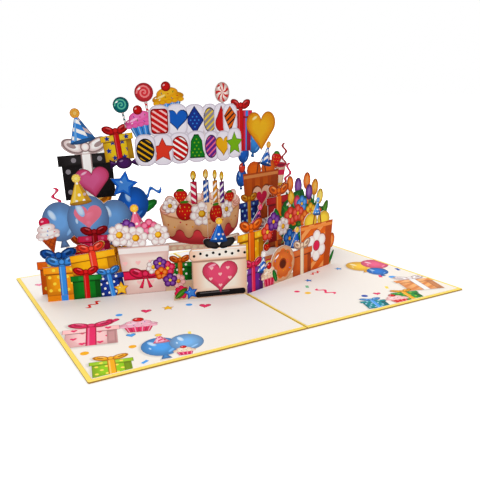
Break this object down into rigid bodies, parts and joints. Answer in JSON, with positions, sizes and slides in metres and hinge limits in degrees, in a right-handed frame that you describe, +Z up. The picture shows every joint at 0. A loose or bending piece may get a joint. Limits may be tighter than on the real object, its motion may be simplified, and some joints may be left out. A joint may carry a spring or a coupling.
{
  "type": "pop-up card",
  "caption": "Pop-up greeting card, opened flat, whose standing die-cut layers of party shapes rise in V-folds across its fold.",
  "frame": {"origin": "under the middle of the spine, at the centre of the bounding box's base", "axes": "+X runs to the right leaf's outer edge, +Y away from the reader along the spine, +Z up"},
  "size_m": [0.26, 0.2, 0.1439],
  "materials": {
    "cover_card": "uncoated yellow card, matt, with a fine grain",
    "liner_paper": "printed liner paper, cream to white, satin",
    "layer_card": "coated white card, printed on the front in full colour, satin"
  },
  "bodies": {
    "root": {"cover": "cover_card", "liner_left": "liner_paper", "liner_right": "liner_paper", "front_left": "layer_card", "front_right": "layer_card", "second_left": "layer_card", "second_right": "layer_card", "third_left": "layer_card", "third_right": "layer_card", "rear_left": "layer_card", "rear_right": "layer_card"}
  },
  "joints": []
}
